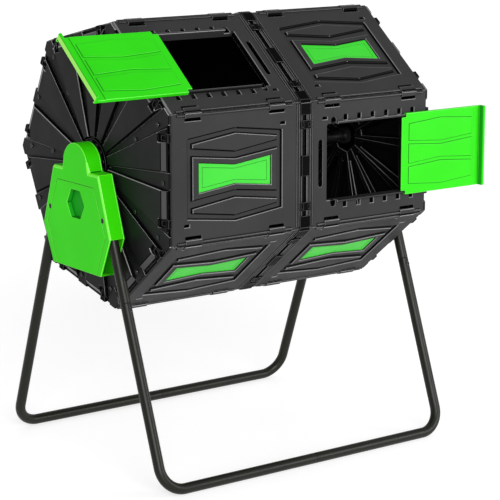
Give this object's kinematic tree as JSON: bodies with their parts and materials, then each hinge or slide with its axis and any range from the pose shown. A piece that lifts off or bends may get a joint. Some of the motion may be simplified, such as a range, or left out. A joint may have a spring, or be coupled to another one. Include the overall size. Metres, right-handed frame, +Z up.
{
  "type": "compost tumbler",
  "caption": "Seven-sided dual-chamber compost drum with sliding doors, turning on an axle in a bent-tube floor stand with side covers.",
  "frame": {"origin": "on the floor, under the middle of the drum: the centre of the box's bottom face", "axes": "+X along the axle to the right as seen from the front, -Y to the front, +Z up"},
  "size_m": [0.954, 0.6087, 0.9266],
  "materials": {
    "stand_tube": "satin powder coat, dark olive black",
    "green_plastic": "moulded, slightly glossy, bright green",
    "drum_plastic": "fine moulded grain, charcoal",
    "end_plastic": "fine moulded grain, charcoal",
    "black_plastic": "smooth black",
    "bush_plastic": "plain dark bearing plastic",
    "axle_steel": "zinc-plated tube",
    "steel_screws": "black zinc, satin",
    "dark_screws": "black oxide"
  },
  "bodies": {
    "stand": {"front_left_leg": "stand_tube", "front_right_leg": "stand_tube", "rear_left_leg": "stand_tube", "rear_right_leg": "stand_tube", "left_upper_frame": "stand_tube", "right_upper_frame": "stand_tube", "left_outer_cover": "green_plastic", "right_outer_cover": "green_plastic", "left_inner_cover": "green_plastic", "right_inner_cover": "green_plastic", "axle": "axle_steel", "cover_screws": "dark_screws", "leg_screws": "dark_screws", "floor_bar_screws": "dark_screws"},
    "drum": {"left_front_panel": "drum_plastic", "left_door_frame": "drum_plastic", "left_top_panel": "drum_plastic", "left_upper_rear_panel": "drum_plastic", "left_lower_rear_panel": "drum_plastic", "left_bottom_panel": "drum_plastic", "left_lower_front_panel": "drum_plastic", "right_door_frame": "drum_plastic", "right_upper_front_panel": "drum_plastic", "right_top_panel": "drum_plastic", "right_upper_rear_panel": "drum_plastic", "right_lower_rear_panel": "drum_plastic", "right_bottom_panel": "drum_plastic", "right_lower_front_panel": "drum_plastic", "left_window_inlays": "green_plastic", "right_window_inlays": "green_plastic", "divider": "drum_plastic", "left_hub_flange": "black_plastic", "right_hub_flange": "black_plastic", "left_bush": "bush_plastic", "right_bush": "bush_plastic", "left_end_wedges_a": "end_plastic", "left_end_wedges_b": "end_plastic", "right_end_wedges_a": "end_plastic", "right_end_wedges_b": "end_plastic", "left_end_screws": "steel_screws", "right_end_screws": "steel_screws", "left_rim_hooks": "black_plastic", "right_rim_hooks": "black_plastic", "seam_hooks": "black_plastic", "seam_clips": "black_plastic", "corner_connectors": "black_plastic"},
    "left_door": {"left_door": "green_plastic"},
    "right_door": {"right_door": "green_plastic"}
  },
  "joints": [
    {"name": "drum_turn", "type": "hinge", "parent": "stand", "child": "drum", "pos_m": [0, 0, 0.629], "axis": [1, 0, 0], "range_deg": [-160, 34]},
    {"name": "left_door_slide", "type": "slide", "parent": "drum", "child": "left_door", "axis": [-1, 0, 0], "range_m": [-0.2, 0]},
    {"name": "right_door_slide", "type": "slide", "parent": "drum", "child": "right_door", "axis": [1, 0, 0], "range_m": [-0.2, 0]}
  ]
}
